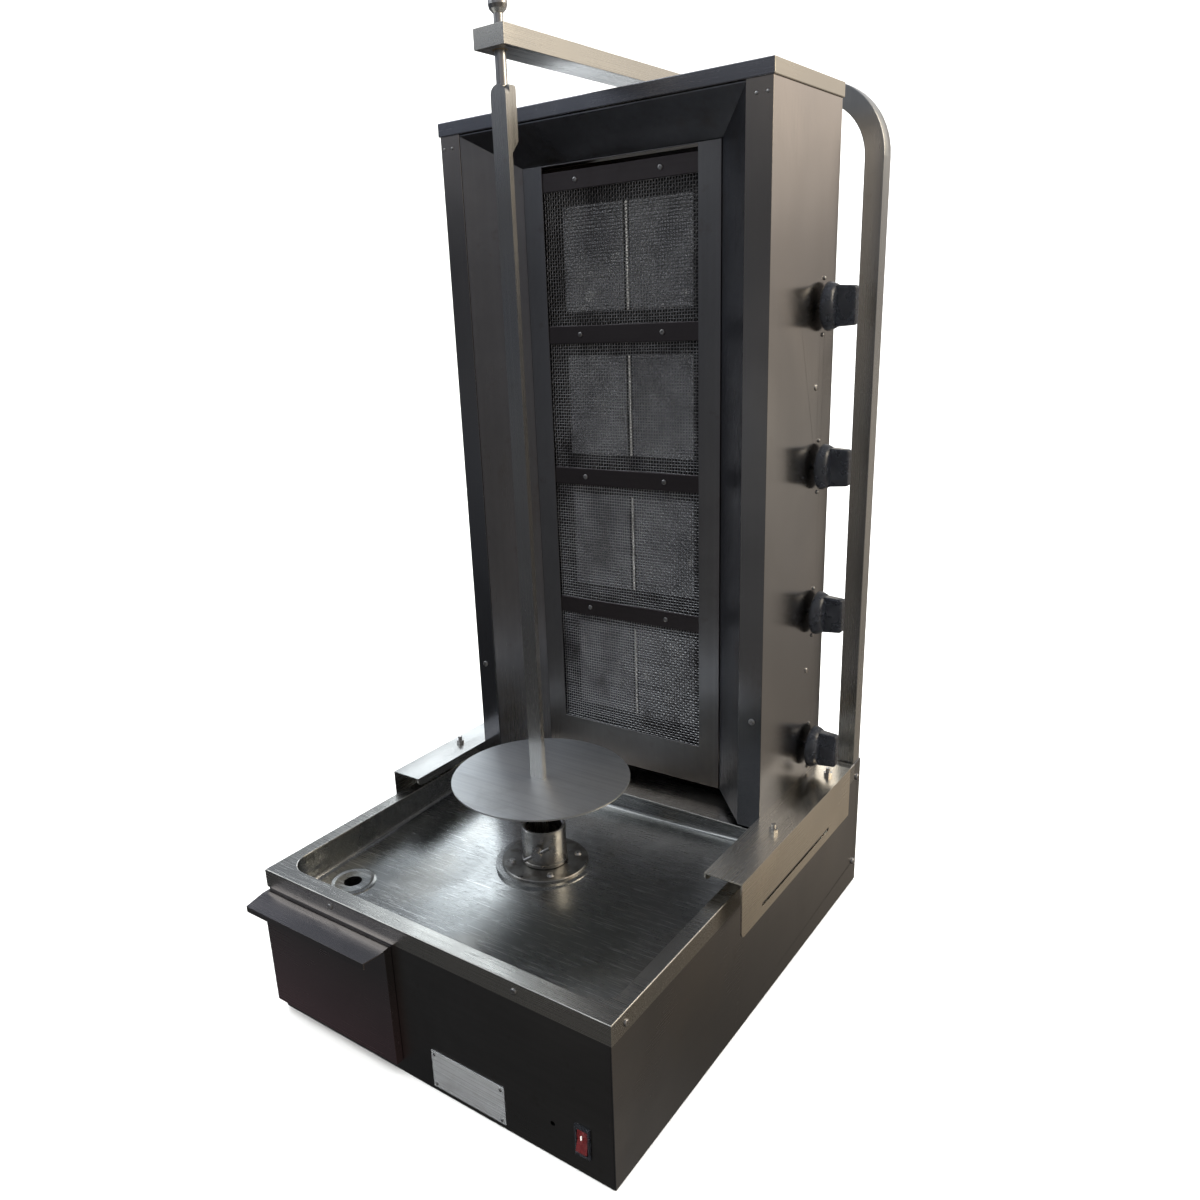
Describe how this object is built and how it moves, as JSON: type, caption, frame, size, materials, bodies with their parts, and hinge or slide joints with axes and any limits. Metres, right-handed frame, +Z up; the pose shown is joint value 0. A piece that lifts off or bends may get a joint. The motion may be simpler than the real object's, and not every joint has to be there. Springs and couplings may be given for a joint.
{
  "type": "vertical rotisserie broiler",
  "caption": "Gas doner grill in brushed stainless steel: drip tray base with grease drawer, turning skewer with disc, stacked infrared burners and an overhead hoop",
  "frame": {"origin": "under the middle of the whole machine, on the surface it stands on", "axes": "+X to the right as the operator faces the burners, +Y away from the operator towards the hoop, +Z up"},
  "size_m": [0.56, 0.743, 1.19],
  "materials": {
    "casing": "brushed stainless steel sheet",
    "tray": "brushed stainless steel, scratched in use",
    "tower": "brushed stainless steel, warm stained",
    "hot_steel": "heat tinted stainless steel",
    "tube": "brushed stainless steel tube",
    "spit": "satin stainless steel",
    "hub": "dark turned steel",
    "screws": "plain zinc plated steel",
    "disc": "brushed aluminium",
    "nameplate": "blank satin aluminium",
    "motor": "dark grey paint",
    "ceramic": "porous cordierite plaque",
    "mesh": "heat tinted woven wire",
    "brass": "plain brass",
    "black_plastic": "moulded black plastic",
    "red_plastic": "glossy red plastic",
    "rubber": "black rubber",
    "plastic": "natural nylon"
  },
  "bodies": {
    "base": {"arm_bolts": "screws", "base_side_left": "casing", "base_side_right": "casing", "bottom_plate": "casing", "cable_gland": "black_plastic", "casing_fasteners": "screws", "drain_outlet": "tray", "drawer_runners": "casing", "drip_tray": "tray", "front_panel": "casing", "gear_motor": "motor", "hoop_tube": "tube", "hub_flange": "hub", "hub_screws": "screws", "motor_bracket": "screws", "nameplate": "nameplate", "pin_bush": "brass", "rear_panel": "casing", "rubber_feet": "rubber", "switch_housing": "black_plastic", "terminal_block": "plastic", "top_arm": "tube"},
    "drawer": {"drawer_front": "casing", "drawer_pan": "casing"},
    "rocker": {"switch_rocker": "red_plastic"},
    "hub": {"drive_cup": "hub", "drive_shaft": "hub"},
    "lock": {"lock_screw": "hub"},
    "spit": {"skewer_bar": "spit", "skewer_boss": "spit", "skewer_disc": "disc"},
    "pin": {"top_pin": "spit"},
    "tower": {"rail_left": "tower", "rail_right": "tower", "runner_blocks": "plastic", "rail_bolts": "screws", "tower_side_left": "tower", "tower_side_right": "tower", "tower_back": "tower", "tower_cap": "tower", "shield_left": "hot_steel", "shield_right": "hot_steel", "shield_top": "hot_steel", "burner_frame": "hot_steel", "crossbars": "hot_steel", "mesh_guards": "mesh", "tower_fasteners": "screws", "burner_plenums": "hot_steel", "burner_tiles": "ceramic", "venturi_tubes": "hot_steel", "gas_valves": "brass", "gas_manifold": "brass"},
    "stem_1": {"knob_stem_1": "screws"},
    "knob_1": {"knob_1": "black_plastic"},
    "stem_2": {"knob_stem_2": "screws"},
    "knob_2": {"knob_2": "black_plastic"},
    "stem_3": {"knob_stem_3": "screws"},
    "knob_3": {"knob_3": "black_plastic"},
    "stem_4": {"knob_stem_4": "screws"},
    "knob_4": {"knob_4": "black_plastic"}
  },
  "joints": [
    {"name": "drawer_slide", "type": "slide", "parent": "base", "child": "drawer", "axis": [0, -1, 0], "range_m": [0, 0.25]},
    {"name": "rocker_tilt", "type": "hinge", "parent": "base", "child": "rocker", "pos_m": [0.2225, -0.3295, 0.0455], "axis": [1, 0, 0], "range_deg": [0, 16]},
    {"name": "spit_spin", "type": "hinge", "parent": "base", "child": "hub", "pos_m": [0, -0.088, 0.213], "axis": [0, 0, 1], "continuous": true},
    {"name": "lock_turn", "type": "hinge", "parent": "hub", "child": "lock", "pos_m": [0.01524, -0.1239, 0.213], "axis": [0.3907, -0.9205, 0], "range_deg": [0, 330]},
    {"name": "spit_lift", "type": "slide", "parent": "hub", "child": "spit", "axis": [0, 0, 1], "range_m": [0, 0.025]},
    {"name": "top_pin_lift", "type": "slide", "parent": "base", "child": "pin", "axis": [0, 0, 1], "range_m": [0, 0.035]},
    {"name": "tower_slide", "type": "slide", "parent": "base", "child": "tower", "axis": [0, 1, 0], "range_m": [-0.04, 0.055]},
    {"name": "knob_turn_1", "type": "hinge", "parent": "tower", "child": "stem_1", "pos_m": [0.231, 0.2265, 0.277], "axis": [1, 0, 0], "range_deg": [0, 210]},
    {"name": "knob_push_1", "type": "slide", "parent": "stem_1", "child": "knob_1", "axis": [-1, 0, 0], "range_m": [0, 0.003], "stiffness_N_per_m": 800, "springref_m": -0.004},
    {"name": "knob_turn_2", "type": "hinge", "parent": "tower", "child": "stem_2", "pos_m": [0.231, 0.2265, 0.472], "axis": [1, 0, 0], "range_deg": [0, 210]},
    {"name": "knob_push_2", "type": "slide", "parent": "stem_2", "child": "knob_2", "axis": [-1, 0, 0], "range_m": [0, 0.003], "stiffness_N_per_m": 800, "springref_m": -0.004},
    {"name": "knob_turn_3", "type": "hinge", "parent": "tower", "child": "stem_3", "pos_m": [0.231, 0.2265, 0.667], "axis": [1, 0, 0], "range_deg": [0, 210]},
    {"name": "knob_push_3", "type": "slide", "parent": "stem_3", "child": "knob_3", "axis": [-1, 0, 0], "range_m": [0, 0.003], "stiffness_N_per_m": 800, "springref_m": -0.004},
    {"name": "knob_turn_4", "type": "hinge", "parent": "tower", "child": "stem_4", "pos_m": [0.231, 0.2265, 0.862], "axis": [1, 0, 0], "range_deg": [0, 210]},
    {"name": "knob_push_4", "type": "slide", "parent": "stem_4", "child": "knob_4", "axis": [-1, 0, 0], "range_m": [0, 0.003], "stiffness_N_per_m": 800, "springref_m": -0.004}
  ]
}
